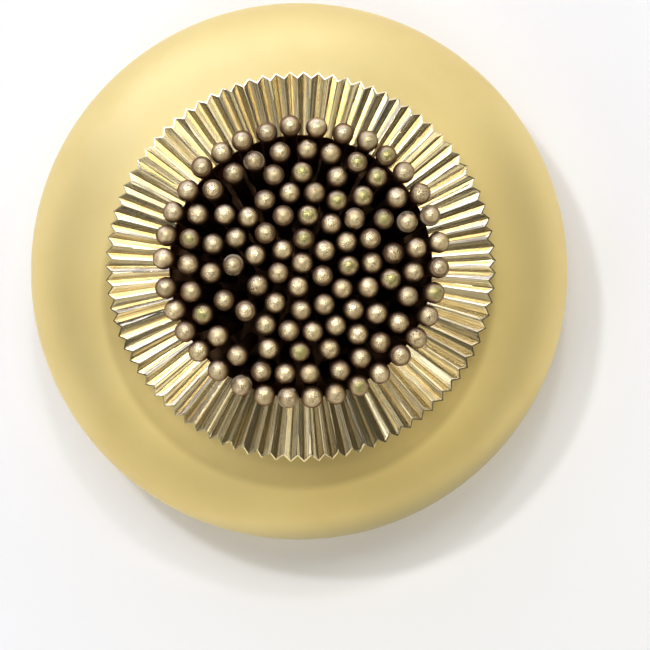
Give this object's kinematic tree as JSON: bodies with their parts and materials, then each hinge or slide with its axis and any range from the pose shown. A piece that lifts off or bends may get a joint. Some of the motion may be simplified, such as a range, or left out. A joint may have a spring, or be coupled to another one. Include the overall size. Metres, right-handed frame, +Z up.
{
  "type": "flower frog",
  "caption": "Low round brass flower frog: a domed vessel whose lift-out insert holds a thicket of ball-headed pins inside a fluted collar.",
  "frame": {"origin": "centre of the felt pad's underside, where the object stands on the table", "axes": "+Z up along the vessel's axis, the way the insert lifts out; +X to the right and +Y to the far side, with no front"},
  "size_m": [0.09, 0.09, 0.0514],
  "materials": {
    "satin_brass": "satin brushed by hand",
    "polished_brass": "polished, finely scratched",
    "turned_brass": "as turned",
    "dark_brass": "dark brown patina",
    "pin_bronze": "antique bronze, cast and rubbed",
    "ballast_iron": "as cast",
    "base_felt": "pressed wool felt"
  },
  "bodies": {
    "vessel": {"upper_shell": "satin_brass", "lower_bowl": "satin_brass", "mouth_ring": "turned_brass", "ballast_disc": "ballast_iron", "base_cover": "turned_brass", "base_felt": "base_felt"},
    "insert": {"frog_cup": "dark_brass", "pin_plate": "dark_brass", "fluted_collar": "polished_brass", "collar_screws": "turned_brass", "pin_centre": "pin_bronze", "pins_ring_1": "pin_bronze", "pins_ring_2": "pin_bronze", "pins_ring_3": "pin_bronze", "pins_ring_4": "pin_bronze", "pins_ring_5": "pin_bronze", "pins_ring_6": "pin_bronze"}
  },
  "joints": [
    {"name": "insert_lift", "type": "slide", "parent": "vessel", "child": "insert", "axis": [0, 0, 1], "range_m": [0, 0.045]}
  ]
}
